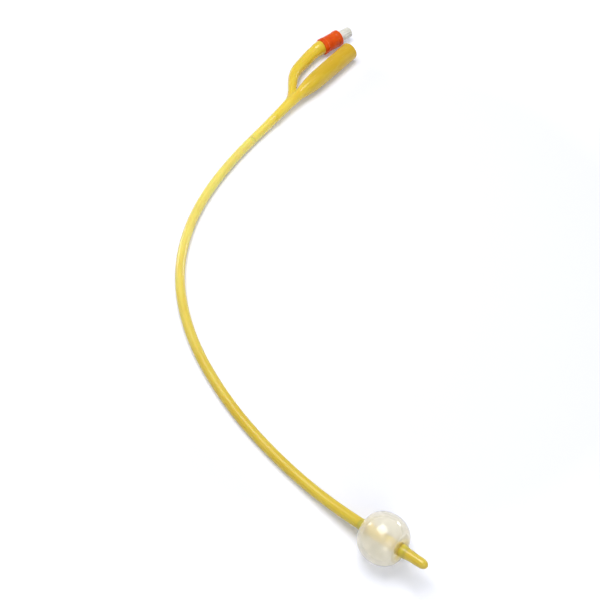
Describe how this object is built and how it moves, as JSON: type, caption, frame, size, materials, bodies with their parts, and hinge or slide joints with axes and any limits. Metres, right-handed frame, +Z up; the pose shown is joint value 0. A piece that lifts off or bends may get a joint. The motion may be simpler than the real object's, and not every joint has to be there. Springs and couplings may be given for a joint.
{
  "type": "foley urinary catheter",
  "caption": "Two-way urinary catheter: bent latex tube with a drainage funnel, a side arm with a valved port and colour sleeve, an inflated balloon and a rounded tip with drainage eyes.",
  "frame": {"origin": "on the table, under the middle of the catheter's overall footprint, with the catheter lying as it rests", "axes": "+Z up from the table, +X out of the drainage funnel's mouth, the shaft bends away to -X and then runs towards -Y to the balloon and tip"},
  "size_m": [0.277, 0.2532, 0.0241],
  "materials": {
    "yellow_latex": "smooth silicone-coated latex, slightly glossy",
    "balloon_film": "stretched latex film, translucent and glossy",
    "orange_sleeve": "moulded, satin with soft highlights",
    "white_plastic": "moulded off-white plastic",
    "stem_plastic": "moulded natural plastic",
    "seal_rubber": "matte black rubber",
    "spring_steel": "drawn stainless wire"
  },
  "bodies": {
    "catheter": {"latex_body": "yellow_latex", "balloon": "balloon_film", "size_sleeve": "orange_sleeve", "valve_housing": "white_plastic", "valve_spring": "spring_steel", "spring_retainer": "white_plastic"},
    "stem": {"valve_stem": "stem_plastic", "stem_seal": "seal_rubber"}
  },
  "joints": [
    {"name": "stem_slide", "type": "slide", "parent": "catheter", "child": "stem", "axis": [-0.9785, 0.2062, 0], "range_m": [0, 0.0018], "stiffness_N_per_m": 400, "springref_m": -0.002, "deforming": ["valve_spring"]}
  ]
}
